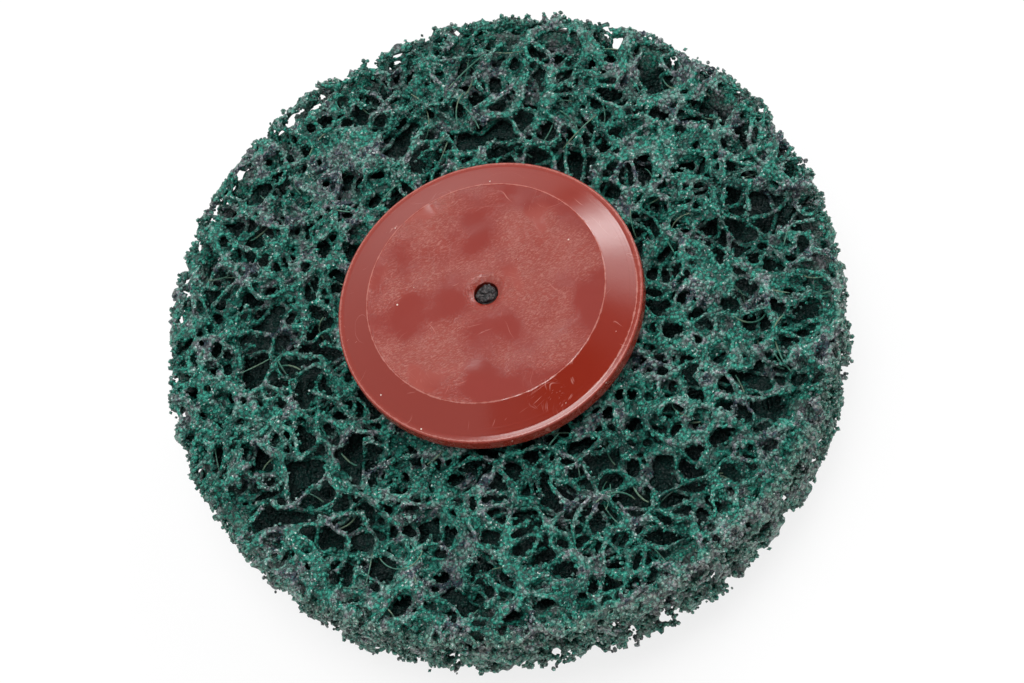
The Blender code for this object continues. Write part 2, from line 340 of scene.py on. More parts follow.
class Marks:
    """Node groups for the small marks that every moulded surface of the disc carries."""

    def __init__(self) -> None:
        """Build each group once."""
        self.strokes = self.make_strokes()
        self.specks = self.make_specks()

    def start(self, name: str, inputs: Iterable[str],
              outputs: Iterable[str]) -> tuple[Tree, Nodes, list, list]:
        """Open a node group with a place, some values and some values out.

        Args:
            name: The group's name.
            inputs: Names of the values that go in.
            outputs: Names of the values that come out.

        Returns:
            The group, its writer, the sockets that come in and the sockets that go out.
        """
        tree = bpy.data.node_groups.new(name, "ShaderNodeTree")
        tree.interface.new_socket("Place", in_out="INPUT", socket_type="NodeSocketVector")
        for way, labels in (("INPUT", inputs), ("OUTPUT", outputs)):
            for label in labels:
                tree.interface.new_socket(label, in_out=way, socket_type="NodeSocketFloat")
        nodes = Nodes(tree)
        arrive = nodes.add("NodeGroupInput").outputs
        leave = nodes.add("NodeGroupOutput").inputs
        return tree, nodes, arrive, leave

    def make_strokes(self) -> Tree:
        """Return short straight scratches that all run one way."""
        tree, nodes, arrive, leave = self.start(
            "scratch_strokes", ("Angle", "Length", "Width", "Share", "Waver"), ("Mask",))
        sway = nodes.times(nodes.noise(arrive["Place"], 0.12, 1.0), arrive["Waver"])
        turn = nodes.add("ShaderNodeVectorRotate", {
            "Vector": arrive["Place"], "Angle": nodes.math("ADD", arrive["Angle"], sway)},
                         rotation_type="Z_AXIS")
        along, across, _ = nodes.split(turn.outputs[0])
        cell = nodes.cells(nodes.joined(nodes.math("DIVIDE", along, arrive["Length"]),
                                        nodes.math("DIVIDE", across, arrive["Width"]), 0.0), 1.0)
        pick = nodes.channels(cell.outputs["Color"])
        line = nodes.span(cell.outputs["Distance"], 0.34, 0.12)
        chosen = nodes.math("LESS_THAN", pick[0], arrive["Share"])
        depth = nodes.span(pick[1], 0.0, 1.0, 0.35, 1.0)
        nodes.link(nodes.times(line, chosen, depth), leave["Mask"])
        return tree

    def make_specks(self) -> Tree:
        """Return scattered specks of dust of uneven size."""
        tree, nodes, arrive, leave = self.start("dust_specks", ("Spacing", "Share"), ("Mask",))
        place = nodes.joined(*(nodes.math("DIVIDE", value, arrive["Spacing"])
                               for value in nodes.split(arrive["Place"])))
        cell = nodes.cells(place, 1.0)
        pick = nodes.channels(cell.outputs["Color"])
        size = nodes.span(pick[1], 0.0, 1.0, 0.025, 0.085)
        dot = nodes.math("LESS_THAN", cell.outputs["Distance"], size)
        chosen = nodes.math("LESS_THAN", pick[0], arrive["Share"])
        nodes.link(nodes.times(dot, chosen), leave["Mask"])
        return tree


@dataclass(frozen=True)
class WebFinish:
    """Green resin with grey, mauve and dark crumbs of grit over filaments, with painted shade in
    its crevices and deep inside, and painted glints.
    """

    name: str
    deep: Color = (0.003, 0.046, 0.040)
    body: Color = (0.011, 0.140, 0.108)
    bright: Color = (0.032, 0.322, 0.238)
    dusty: Color = (0.205, 0.360, 0.322)
    mauve: Color = (0.250, 0.236, 0.268)
    navy: Color = (0.013, 0.024, 0.050)
    # Painted highlight: pale glints on a few flecks.
    painted_glint: Color = (0.620, 0.700, 0.680)
    worn: Color = (0.320, 0.325, 0.275)
    # Painted shade, laid in the crevices between crumbs.
    crevice_shade: Color = (0.001, 0.006, 0.007)
    shadow: Color = (0.0046, 0.0140, 0.0135)
    crumb: float = 0.60
    fleck: float = 0.21
    inside: float = 0.30
    shade_from: float = 1.0
    shade_to: float = 4.6

    def build(self, envelope: Envelope) -> Material:
        """Return the web's material.

        Args:
            envelope: The web's outline, which says what lies deep inside.
        """
        finish = Finish(self.name)
        nodes = finish.nodes
        patches = nodes.noise(finish.place, 0.20, 2.0, 0.6)
        fine = nodes.noise(finish.place, 1.4, 3.0, 0.65)
        crumbs = nodes.cells(finish.place, 1.0 / self.crumb)
        flecks = nodes.cells(finish.place, 1.0 / self.fleck)
        crumb_pick = nodes.channels(crumbs.outputs["Color"])
        fleck_pick = nodes.channels(flecks.outputs["Color"])
        kind = nodes.total((nodes.attribute("grain"), 0.38), (crumb_pick[0], 0.22),
                           (patches, 1.75), (0.675, -1.0))
        color = nodes.tinted(self.body, (fine, 0.40, 0.58, 1.0, self.bright),
                             (kind, 0.50, 0.62, 0.85, self.dusty),
                             (kind, 0.67, 0.74, 0.85, self.mauve),
                             (kind, 0.79, 0.86, 0.90, self.navy),
                             (kind, 0.32, 0.16, 0.85, self.deep),
                             (fleck_pick[0], 0.62, 0.86, 0.58, self.deep),
                             (fleck_pick[1], 0.80, 0.88, 0.55, self.bright),
                             # Painted highlight: a few flecks turn pale as glints.
                             (fleck_pick[2], 0.972, 0.978, 0.90, self.painted_glint))
        rim = nodes.math("SUBTRACT", envelope.rim, nodes.reach(finish.place))
        cut = nodes.times(nodes.span(rim, 2.0, 0.6), nodes.span(fine, 0.40, 0.62))
        color = nodes.mix(nodes.times(cut, 0.45), color, self.worn)
        dome = nodes.dome(crumbs, 0.66)
        depth = self.depth(nodes, finish.place, envelope, rim)
        # Painted shade: darker in the crevices between crumbs, and darker the deeper a place lies
        # under the web's faces and rim.
        color = nodes.tinted(color, (dome, 0.40, 0.02, 0.72, self.crevice_shade),
                             (depth, self.shade_from, self.shade_to, 1.0 - self.inside,
                              self.shadow))
        finish.set("Base Color", color)
        finish.set("Specular IOR Level", nodes.span(depth, 1.5, 3.5, 0.5, 0.20))
        finish.set("Roughness", nodes.span(fleck_pick[0], 0.0, 1.0, 0.14, 0.50))
        height = nodes.total((dome, 0.34), (nodes.dome(flecks, 0.62), 0.05), (fine, 0.22))
        finish.bump(height, 1.0)
        return finish.material

    def depth(self, nodes: Nodes, place: Socket, envelope: Envelope, rim: Socket) -> Socket:
        """Return how far a place lies under the web's nearest face or rim."""
        level = nodes.split(place)[2]
        sides = nodes.math("MINIMUM", nodes.math("SUBTRACT", envelope.high, level),
                           nodes.math("SUBTRACT", level, envelope.low))
        return nodes.math("MINIMUM", sides, rim)


@dataclass(frozen=True)
class FibreFinish:
    """Bare nylon fibre, pale green to olive."""

    name: str = "web_bare_fibre"
    green: Color = (0.045, 0.170, 0.120)
    olive: Color = (0.130, 0.190, 0.120)
    stain: Color = (0.020, 0.070, 0.055)

    def build(self) -> Material:
        """Return the fibres' material."""
        finish = Finish(self.name)
        nodes = finish.nodes
        kind = nodes.noise(finish.place, 0.25, 1.0)
        stain = nodes.noise(finish.place, 1.5, 2.0)
        color = nodes.tinted(self.green, (kind, 0.45, 0.62, 1.0, self.olive),
                             (stain, 0.52, 0.70, 0.8, self.stain))
        finish.set("Base Color", color)
        finish.set("Roughness", nodes.span(stain, 0.3, 0.7, 0.30, 0.50))
        return finish.material


@dataclass(frozen=True)
class Envelope:
    """Outline of the web: rounded at its rim and squeezed between the cap and the flange."""

    hub: float
    rim: float
    rim_round: float
    low: float
    high: float
    clamp: float = 22.4
    loft: float = 1.2
    lean: float = 0.45
    stretch: float = 0.9
    loft_width: float = 5.0
    unevenness: float = 0.9
    uneven_size: float = 9.0
    dents: float = 1.9
    dent_size: float = 5.5
    dent_fade: float = 4.0
    spring: float = 0.35

    def depth(self, place: Vector) -> float:
        """Return how far a point lies under the nearest face or the rim."""
        return min(self.high - place.z, place.z - self.low,
                   self.rim - math.hypot(place.x, place.y))

    def squeeze(self, radius: float) -> float:
        """Return how much each face is pressed in at a radius."""
        return self.loft * (1.0 - eased((radius - self.clamp) / self.loft_width))

    def dent(self, place: Vector) -> float:
        """Return how far the faces are sunk at a point, outside the cap."""
        flat = Vector((place.x, place.y, 0.0))
        deep = max(0.0, noise.noise(flat / self.dent_size + Vector((0.0, 11.0, 0.0))))
        radius = math.hypot(place.x, place.y)
        return self.dents * deep * max(0.0, min(1.0, (radius - self.clamp) / self.dent_fade))

    def inside(self, place: Vector, margin: float) -> bool:
        """Say whether a point lies inside the outline by at least a margin."""
        radius = math.hypot(place.x, place.y)
        if radius < self.hub + margin:
            return False
        flat = Vector((place.x, place.y, 0.0))
        uneven = self.unevenness * max(0.0, noise.noise(flat / self.uneven_size))
        toward = place.y / radius
        rim = self.rim - uneven - self.lean * toward + self.stretch * (toward * toward - 0.5)
        press = self.squeeze(radius)
        core_r = min(radius, rim - self.rim_round)
        core_z = min(max(place.z, self.low + press + self.rim_round),
                     self.high - press - self.rim_round)
        return math.hypot(radius - core_r, place.z - core_z) < self.rim_round - margin

    def settled(self, place: Vector, low: float, high: float, margin: float) -> None:
        """Lay what would leave a layer's faces along them."""
        press = self.squeeze(math.hypot(place.x, place.y)) + self.dent(place)
        top = min(high, self.high - press) - margin
        bottom = max(low, self.low + press) + margin
        if place.z > top:
            place.z = top - self.spring * (place.z - top)
        if place.z < bottom:
            place.z = bottom + self.spring * (bottom - place.z)


class Pores:
    """Rounded open pores through the whole web, which the filaments run around."""

    SIZES = ((2.1, 3.0, 280), (1.5, 2.1, 560), (1.0, 1.5, 800))
    TOUCH = 0.5
    TRIES = 9
    ABOVE = 0.8
    OVERLAP = 0.78
    FIRMNESS = 0.33

    def __init__(self, envelope: Envelope, seed: int) -> None:
        """Scatter the pores, the largest first."""
        chance = np.random.default_rng(seed)
        centres = np.zeros((0, 3))
        radii = np.zeros(0)
        for small, large, wanted in self.SIZES:
            full = len(radii) + wanted
            for _ in range(wanted * self.TRIES):
                if len(radii) == full:
                    break
                reach = math.sqrt(chance.uniform(envelope.hub ** 2, envelope.rim ** 2))
                turn = chance.uniform(0.0, math.tau)
                level = chance.uniform(envelope.low, envelope.high + self.ABOVE)
                spot = np.array((reach * math.cos(turn), reach * math.sin(turn), level))
                size = chance.uniform(small, large)
                gaps = np.linalg.norm(centres - spot, axis=1)
                if (gaps < self.OVERLAP * (radii + size)).any():
                    continue
                centres = np.vstack((centres, spot))
                radii = np.append(radii, size)
        self.radii = [float(radius) for radius in radii]
        self.largest = max(self.radii)
        self.tree = tree_of(centres)
        LOG.info("pores: %d", len(radii))

    def around(self, place: Vector) -> Vector:
        """Return a point pushed towards the wall of the pore that it lies in."""
        for centre, index, distance in self.tree.find_range(place, self.largest):
            size = self.radii[index]
            if 0.05 < distance < size:
                place = centre + (place - centre) * (distance / size) ** (self.FIRMNESS - 1.0)
        return place

    def hollow(self, place: Vector, way: Vector) -> float:
        """Return how far the pores that open on a surface reach in under a point of it.

        Args:
            place: The point, in millimetres.
            way: The surface's outward direction there.
        """
        deepest = 0.0
        for centre, index, _ in self.tree.find_range(place, self.TOUCH + 1.45 * self.largest):
            gap = centre - place
            under = -gap.dot(way)
            room = self.radii[index] ** 2 - (gap.length_squared - under * under)
            if room > 0.0 and under - math.sqrt(room) < self.TOUCH:
                deepest = max(deepest, under + math.sqrt(room))
        return deepest

    def facing(self, place: Vector) -> Vector:
        """Return the direction from a point to the middle of its nearest pore."""
        centre, _, _ = self.tree.find(place)
        return (centre - place).normalized()


@dataclass
class Tangle:
    """One region of coiled filaments with crumbs of resin and grit, fused into a mesh.

    Lengths are in millimetres, apart from the metres of filament that the region holds. The
    envelope and the pores belong to the whole web. A pair is the range of a random number.
    """

    name: str
    envelope: Envelope
    pores: Pores
    seed: int
    low: float
    high: float
    inner: float
    outer: float
    start_deg: float
    turn_deg: float
    metres: float
    voxel: float
    porous: bool = True
    strand: float = 0.43
    strand_change: float = 0.30
    change_size: float = 1.7
    coil: Pair = (2.4, 7.0)
    drift: Pair = (2.0, 9.0)
    turns: Pair = (0.4, 1.4)
    tilt: float = 0.8
    sway: float = 1.1
    sway_size: float = 4.0
    waver: float = 0.25
    waver_size: float = 1.5
    shortest: int = 4
    crumb: float = 0.38
    crumb_sizes: Pair = (0.55, 1.15)
    crumb_shape: Pair = (0.7, 1.15)
    crumb_swell: float = 0.35
    crumb_seat: float = 0.8
    crumb_stand: float = 0.36
    crumb_depth: float = 2.4
    crumb_rare: float = 0.25
    crumb_twin: float = 0.45
    crumb_patch: float = 2.4
    round_depth: float = 1.2
    round_share: float = 0.6
    bare: float = -0.20
    film_share: float = 0.016
    film_width: Pair = (0.8, 1.5)
    film_breadth: Pair = (0.5, 0.9)
    film_thick: float = 0.28
    roughness: float = 0.14
    rough_size: float = 0.5
    step: float = 0.6
    crumbs: list[tuple[Vector, Vector]] = field(default_factory=list)
    films: list[tuple[Vector, Vector]] = field(default_factory=list)
    grains: list[float] = field(default_factory=list)

    def filament(self, chance: random.Random) -> Iterable[Polyline]:
        """Trace one filament and cut it where it leaves the region.

        Args:
            chance: The region's source of random numbers.

        Yields:
            Each stretch of the filament that lies inside.
        """
        turn = math.radians(self.start_deg + chance.random() * self.turn_deg)
        reach = math.sqrt(chance.uniform(self.inner ** 2, self.outer ** 2))
        start = polar(reach, turn, chance.uniform(self.low, self.high))
        heading = chance.uniform(0.0, math.tau)
        coil = chance.uniform(*self.coil)
        drift = chance.uniform(*self.drift)
        tilt = chance.gauss(0.0, self.tilt)
        along = polar(1.0, heading, 0.0)
        across = Vector((-along.y * math.cos(tilt), along.x * math.cos(tilt), math.sin(tilt)))
        turns = chance.uniform(*self.turns)
        phase = chance.uniform(0.0, math.tau)
        count = int(turns * math.hypot(math.tau * coil, drift) / self.step)
        stretch: Polyline = []
        for index in range(count):
            share = index / count
            angle = phase + share * turns * math.tau
            place = start + along * (coil * math.cos(angle) + drift * turns * (share - 0.5))
            place = place + across * (coil * math.sin(angle))
            place = place + swirl(place / self.sway_size) * self.sway
            if self.porous:
                place = self.pores.around(place)
            place = place + swirl(place / self.waver_size) * self.waver
            self.envelope.settled(place, self.low, self.high, self.strand + 0.1)
            radius = math.hypot(place.x, place.y)
            if self.inner < radius < self.outer and self.envelope.inside(place, self.strand):
                change = self.strand_change * noise.noise(place / self.change_size)
                stretch.append((place, self.strand * (1.0 + change)))
                continue
            if len(stretch) >= self.shortest:
                yield stretch
            stretch = []
        if len(stretch) >= self.shortest:
            yield stretch

    def strands(self) -> list[Polyline]:
        """Trace filaments until the region holds its share of them."""
        chance = random.Random(self.seed)
        found: list[Polyline] = []
        length = 0.0
        while length < 1000.0 * self.metres:
            for stretch in self.filament(chance):
                found.append(stretch)
                length += self.step * len(stretch)
        return found

    def scatter(self, found: list[Polyline]) -> None:
        """Put crumbs of grit and small films of resin on the filaments."""
        chance = random.Random(self.seed + 1)
        for stretch in found:
            for place, thick in stretch:
                if chance.random() < self.film_share:
                    width = chance.uniform(*self.film_width)
                    breadth = width * chance.uniform(*self.film_breadth)
                    self.films.append((place, Vector((width, breadth, self.film_thick))))
                cover = noise.noise(place / self.crumb_patch + Vector((31.0, 7.0, 3.0)))
                near = self.envelope.depth(place) < self.crumb_depth
                if cover < self.bare or chance.random() > (1.0 if near else self.crumb_rare):
                    continue
                for _ in range(2 if chance.random() < self.crumb_twin + cover else 1):
                    out = any_way(chance).normalized()
                    size = self.crumb * chance.uniform(*self.crumb_sizes)
                    size *= 1.0 + self.crumb_swell * cover
                    spot = place + out * (self.crumb_seat * thick + self.crumb_stand * size)
                    if self.envelope.inside(spot, 0.25):
                        shape = Vector([size * chance.uniform(*self.crumb_shape)
                                        for _ in range(3)])
                        self.crumbs.append((spot, shape))

    def lumps(self, places: list[tuple[Vector, Vector]], kinds: Iterable[int],
              flat: bool) -> tuple[Mesh, list[int]]:
        """Return many small low-poly lumps as one mesh.

        Args:
            places: Centre and half sizes of each lump, in millimetres.
            kinds: For each lump, 0 for an angular one or 1 for a rounded one.
            flat: Whether the lumps lie along the walls of the pores.

        Returns:
            The mesh, and the number of the lump that each face belongs to.
        """
        chance = random.Random(self.seed + 2)
        corners, faces, owners, count = [], [], [], 0
        for number, ((spot, shape), kind) in enumerate(zip(places, kinds)):
            if flat:
                turn = self.pores.facing(spot).to_track_quat("Z", "Y").to_matrix()
            else:
                axis = any_way(chance).normalized()
                turn = Matrix.Rotation(chance.uniform(0.0, math.tau), 3, axis)
            points, sides = LUMPS[kind]
            corners.append((points * np.array(shape)) @ np.array(turn).T + np.array(spot))
            faces.append(sides + count)
            owners.extend([number] * len(sides))
            count += len(points)
        mesh = bpy.data.meshes.new("lumps")
        mesh.from_pydata(np.concatenate(corners), [], np.concatenate(faces))
        return mesh, owners

    def grit(self) -> Piece:
        """Return the crumbs as one piece, each of its own kind."""
        chance = random.Random(self.seed + 3)
        kinds = [self.envelope.depth(spot) < self.round_depth
                 and chance.random() < self.round_share for spot, _ in self.crumbs]
        mesh, owners = self.lumps(self.crumbs, kinds, False)
        set_grain(mesh, np.array(self.grains)[owners], "FACE")
        to_metres(mesh)
        return linked(self.name.replace("web_", "grit_"), mesh)

    def build(self) -> list[Piece]:
        """Fuse the filaments, roughen them and return them with their crumbs."""
        found = self.strands()
        self.scatter(found)
        chance = random.Random(self.seed + 4)
        self.grains = [chance.random() for _ in self.crumbs]
        tangle = wires(self.name, found, 1)
        films, _ = self.lumps(self.films, [1] * len(self.films), True)
        joined = bmesh.new()
        joined.from_mesh(tangle.data)
        joined.from_mesh(films)
        joined.to_mesh(tangle.data)
        joined.free()
        fuse(tangle, self.voxel)
        texture = bpy.data.textures.new(f"{self.name}_rough", "CLOUDS")
        texture.noise_scale = self.rough_size
        displace = tangle.modifiers.new("rough", "DISPLACE")
        displace.texture = texture
        displace.texture_coords = "LOCAL"
        displace.strength = 2.0 * self.roughness
        displace.mid_level = 0.5
        piece = baked(tangle)
        tree = tree_of(spot for spot, _ in self.crumbs)
        set_grain(piece.data, [self.grains[tree.find(corner.co)[1]]
                               for corner in piece.data.vertices])
        to_metres(piece.data)
        return [piece, self.grit()]


def lump_shapes() -> list[tuple[np.ndarray, np.ndarray]]:
    """Return the corners and faces of an angular lump and a rounded one."""
    shapes = []
    for rounded in (False, True):
        lump = bmesh.new()
        if rounded:
            bmesh.ops.create_icosphere(lump, subdivisions=1, radius=1.0)
        else:
            for base, tip, level in ((1.0, 0.0, 0.5), (0.0, 1.0, -0.5)):
                bmesh.ops.create_cone(lump, cap_ends=False, segments=4, radius1=base,
                                      radius2=tip, depth=1.0,
                                      matrix=Matrix.Translation((0.0, 0.0, level)))
            bmesh.ops.remove_doubles(lump, verts=lump.verts, dist=0.01)
            bmesh.ops.recalc_face_normals(lump, faces=lump.faces)
        corners = np.array([corner.co[:] for corner in lump.verts])
        faces = np.array([[corner.index for corner in face.verts] for face in lump.faces])
        lump.free()
        shapes.append((corners, faces))
    return shapes


LUMPS = lump_shapes()


@dataclass
class FilamentWeb:
    """The disc of open web, made of fused regions."""

    hub: float = 6.4
    rim: float = 49.8
    rim_round: float = 0.7
    proud: float = 0.4
    face_depth: float = 4.2
    rim_width: float = 2.4
    bed_depth: float = 4.1
    bed_inset: float = 1.9
    lip_depth: float = 1.7
    lip_reach: float = 7.0
    bed_round: float = 1.6
    bed_limit: float = 2.4
    bed_segments: int = 520
    bed_share: float = 0.55
    bed_facet: float = 0.58
    wall_facet: float = 0.6
    bed_dent: float = 1.7
    bed_rough: tuple[Pair, ...] = ((0.55, 1.15), (0.30, 0.55))
    sectors: int = 4
    front_metres: float = 12.2
    rim_metres: float = 2.5
    rear_metres: float = 6.6
    fibre_count: int = 190
    fibre_step: float = 0.7
    fibre_rear: float = 0.3
    fibre_depth: Pair = (0.3, 3.4)
    fibre_curl: Pair = (0.04, 0.34)
    fibre_thick: Pair = (0.08, 0.14)
    fibre_points: tuple[int, int] = (6, 15)

    def regions(self, envelope: Envelope, pores: Pores) -> list[Tangle]:
        """Return the web's regions, finest where they show."""
        low, high, outer = envelope.low, envelope.high, self.rim + 1.0
        turn = 360.0 / self.sectors
        found = [Tangle(f"web_front_{index + 1}", envelope, pores, 40 + index,
                        high - self.face_depth, high, self.hub, outer, index * turn, turn,
                        self.front_metres / self.sectors, 0.43)
                 for index in range(self.sectors)]
        found += [Tangle(f"web_rim_{index + 1}", envelope, pores, 50 + index, low, high - 0.6,
                         self.rim - self.rim_width, outer, index * 180.0, 180.0,
                         self.rim_metres, 0.45, porous=False, crumb=0.40, crumb_depth=1.8)
                  for index in range(2)]
        found.append(Tangle("web_rear", envelope, pores, 60, low, low + self.face_depth,
                            self.hub, self.rim - self.rim_width + 1.0, 0.0, 360.0,
                            self.rear_metres, 0.64, strand=0.48, crumb=0.52, step=0.9,
                            crumb_depth=1.6, round_depth=0.7))
        return found

    def lip(self, inward: float) -> float:
        """Return how much the bed's faces rise, this far in from its rim."""
        return (self.bed_depth - self.lip_depth) * eased(1.0 - inward / self.lip_reach)

    def bed(self, envelope: Envelope, pores: Pores) -> Piece:
        """Return the dense, felted middle of the web, hollowed by the pores."""
        top, bottom = envelope.high - self.bed_depth, envelope.low + self.bed_depth
        reach, edge = self.rim - self.bed_inset, self.bed_round
        inner = self.hub + 0.2
        fine = int((reach - inner) / self.bed_facet)
        coarse = fine // 2
        radii = [inner + (reach - edge - inner) * step / fine for step in range(fine)]
        section = [(radius, top + self.lip(reach - radius)) for radius in radii]
        rise = self.lip(0.0)
        section += arc((reach - edge, top + rise - edge), edge, 90, 0, 3)
        rows = int((top - bottom + 2.0 * (rise - edge)) / self.wall_facet)
        section += [(reach, top + rise - edge - self.wall_facet * row) for row in range(1, rows)]
        section += arc((reach - edge, bottom - rise + edge), edge, 0, -90, 3)
        radii = [inner + (reach - edge - inner) * step / coarse for step in range(coarse)]
        section += [(radius, bottom - self.lip(reach - radius)) for radius in reversed(radii)]
        shape = turned(section, self.bed_segments)
        middle = (top + bottom) / 2
        for corner in shape.verts:
            place = corner.co / MM
            radius = math.hypot(place.x, place.y)
            flat = Vector((place.x, place.y, 0.0)).normalized()
            core_r = min(radius, reach - edge)
            core_z = min(max(place.z, bottom - rise + edge), top + rise - edge)
            if radius < reach - edge:
                core_z = middle
            way = flat * (radius - core_r) + Vector((0.0, 0.0, place.z - core_z))
            if radius < inner + 0.1 or way.length < 0.01:
                continue
            way.normalize()
            sunk = min(pores.hollow(place, way), self.bed_limit)
            sunk += self.bed_dent * max(0.0, noise.noise(place / 4.5 + Vector((5.0, 0.0, 0.0))))
            sunk += envelope.squeeze(radius) * abs(way.z)
            sunk += sum(height * noise.noise(place / size) for height, size in self.bed_rough)
            corner.co = (place - way * min(sunk, self.bed_limit + 0.6)) * MM
        piece = placed("web_bed", shape, 180.0)
        thinned = piece.modifiers.new("thin", "DECIMATE")
        thinned.ratio = self.bed_share
        piece = baked(piece)
        set_grain(piece.data, np.full(len(piece.data.vertices), 0.5))
        piece.data.shade_smooth()
        return piece

    def fibres(self, envelope: Envelope) -> Piece:
        """Return thin bare fibres that cross the pores near the faces and the rim."""
        chance = random.Random(7)
        lines: list[Polyline] = []
        while len(lines) < self.fibre_count:
            reach = math.sqrt(chance.uniform(self.hub ** 2, self.rim ** 2))
            turn = chance.uniform(0.0, math.tau)
            rear = chance.random() < self.fibre_rear
            level = chance.uniform(*self.fibre_depth)
            place = polar(reach, turn, envelope.low + level if rear else envelope.high - level)
            way = any_way(chance)
            way.z *= 0.25
            way.normalize()
            bend = way.cross(any_way(chance)).normalized()
            curl = chance.uniform(*self.fibre_curl)
            thick = chance.uniform(*self.fibre_thick)
            line: Polyline = []
            for _ in range(chance.randint(*self.fibre_points)):
                if not envelope.inside(place, 0.15):
                    break
                line.append((place.copy(), thick))
                place = place + way * self.fibre_step
                way = (way + bend * curl * self.fibre_step).normalized()
                bend = (bend - way * bend.dot(way)).normalized()
            if len(line) < 5:
                continue
            for end in (0, -1):
                line[end] = (line[end][0], 0.7 * thick)
            lines.append(line)
        piece = wires("web_fibres", lines, 0)
        to_metres(piece.data)
        return piece

    def build(self) -> None:
        """Build every region, the bed behind them, whose darker resin paints the shade deep in the
        web, and the bare fibres.
        """
        _, low, high = node_span("abrasive_web")
        envelope = Envelope(self.hub, self.rim, self.rim_round, low - self.proud,
                            high + self.proud)
        pores = Pores(envelope, 11)
        resin = WebFinish("web_resin_grit").build(envelope)
        # Painted shade: the bed's resin is a darker copy of the front resin, and it darkens sooner
        # and further with depth.
        shaded_bed_resin = WebFinish("web_matted_resin", deep=(0.0020, 0.026, 0.023),
                           body=(0.005, 0.085, 0.064), bright=(0.010, 0.230, 0.160),
                           dusty=(0.110, 0.185, 0.160), mauve=(0.140, 0.125, 0.140),
                           navy=(0.008, 0.012, 0.024), painted_glint=(0.350, 0.400, 0.390),
                           inside=0.07, shade_from=1.3, shade_to=3.7).build(envelope)
        dressed = [(piece, resin) for region in self.regions(envelope, pores)
                   for piece in region.build()]
        dressed += [(self.bed(envelope, pores), shaded_bed_resin),
                    (self.fibres(envelope), FibreFinish().build())]
        for piece, material in dressed:
            finish_piece(piece, material, Slot.WEB, "abrasive_web")


def finish_piece(piece: Piece, material: Material, slot: Slot,
                 node: str | None = None) -> None:
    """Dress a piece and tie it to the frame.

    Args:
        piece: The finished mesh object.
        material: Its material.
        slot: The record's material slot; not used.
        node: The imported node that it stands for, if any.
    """
    piece.data.materials.clear()
    piece.data.materials.append(material)
    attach(piece, BODY)
    if node:
        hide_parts(node)
    triangles = sum(len(face.vertices) - 2 for face in piece.data.polygons)
    LOG.info("%s: %d triangles", piece.name, triangles)


def arc(centre: Pair, radius: float, start_deg: float, end_deg: float,
        steps: int = 6) -> Profile:
    """Return the (radius, level) points of an arc of a turned profile."""
    turns = [math.radians(start_deg + (end_deg - start_deg) * step / steps)
             for step in range(steps + 1)]
    return [(centre[0] + radius * math.cos(turn), centre[1] + radius * math.sin(turn))
            for turn in turns]


def turned(profile: Profile, segments: int, closed: bool = True) -> Shape:
    """Spin a profile about the disc's axis.

    Args:
        profile: Points as (radius, level) in millimetres, in order.
        segments: Steps of the full turn.
        closed: Whether the last point joins the first.

    Returns:
        A closed bmesh in metres, with its normals outwards.
    """
    shape = bmesh.new()
    corners = [shape.verts.new((radius * MM, 0.0, level * MM)) for radius, level in profile]
    last = len(corners) if closed else len(corners) - 1
    edges = [shape.edges.new((corners[i], corners[(i + 1) % len(corners)])) for i in range(last)]
    bmesh.ops.spin(shape, geom=[*corners, *edges], cent=(0.0, 0.0, 0.0), axis=(0.0, 0.0, 1.0),
                   dvec=(0.0, 0.0, 0.0), angle=math.tau, steps=segments, use_merge=True,
                   use_duplicate=False)
    bmesh.ops.remove_doubles(shape, verts=shape.verts, dist=1e-6)
    bmesh.ops.recalc_face_normals(shape, faces=shape.faces)
    return shape


def placed(name: str, shape: Shape, sharp_deg: float) -> Piece:
    """Return a smooth-shaded object made from a bmesh, which is freed."""
    mesh = bpy.data.meshes.new(name)
    shape.to_mesh(mesh)
    shape.free()
    mesh.shade_smooth()
    mesh.set_sharp_from_angle(angle=math.radians(sharp_deg))
    return linked(name, mesh)


@dataclass
class CapMasks:
    """Masks for the marks on the cap, each a shader socket from 0 to 1."""

    nodes: Nodes
    marks: Marks
    place: Socket
    reach: Socket
    ragged: Socket

    def strongest(self, masks: Iterable[Socket]) -> Socket:
        """Return the largest of several masks."""
        first, *others = masks
        for mask in others:
            first = self.nodes.math("MAXIMUM", first, mask)
        return first

    def leather(self) -> Socket:
        """Return short fine streaks, as on leather, that turn slowly over the face."""
        nodes = self.nodes
        bend = nodes.noise(self.place, 0.16, 1.0, 0.4)
        streaks = []
        for turn, shift in ((1.15, 0.0), (0.55, 9.0), (1.75, 21.0)):
            laid = nodes.mapped(self.place, (0.0, 0.0, turn), (2.2, 6.2, 1.0),
                                (shift, 0.0, 0.0))
            share = nodes.span(nodes.noise(laid, 1.0, 3.0, 0.60), 0.46, 0.68)
            off = nodes.math("SUBTRACT", bend, 0.38 + 0.12 * (turn - 0.55) / 0.6)
            near = nodes.span(nodes.math("ABSOLUTE", off), 0.12, 0.03)
            streaks.append(nodes.times(share, near))
        return self.strongest(streaks)

    def blot(self, centre: Pair, radius: float) -> Socket:
        """Return a ragged round mask around a point of the cap."""
        shifted = self.nodes.mapped(self.place, shift=(-centre[0], -centre[1], 0.0))
        away = self.nodes.total((self.nodes.reach(shifted), 1.0), (self.ragged, 0.6 * radius),
                                (0.3 * radius, -1.0))
        return self.nodes.span(away, radius, 0.6 * radius)

    def strokes(self, *rows: tuple[float, ...]) -> Socket:
        """Return sets of strokes laid over each other.

        Args:
            rows: Each set's angle, length, width, share of places and waver.
        """
        labels = ("angle", "length", "width", "share", "waver")
        return self.strongest(
            self.nodes.group(
                self.marks.strokes,
                place=self.nodes.mapped(self.place, shift=(3.7 * number, 5.1 * number, 0.0)),
                **dict(zip(labels, row))).outputs["Mask"]
            for number, row in enumerate(rows))

    def line(self, radius: float, width: float) -> Socket:
        """Return a thin, broken line around the axis."""
        off = self.nodes.math("ABSOLUTE", self.nodes.math("SUBTRACT", self.reach, radius))
        wide = self.nodes.span(self.ragged, 0.35, 0.65, 0.3 * width, 1.3 * width)
        return self.nodes.span(self.nodes.math("DIVIDE", off, wide), 1.0, 0.4)


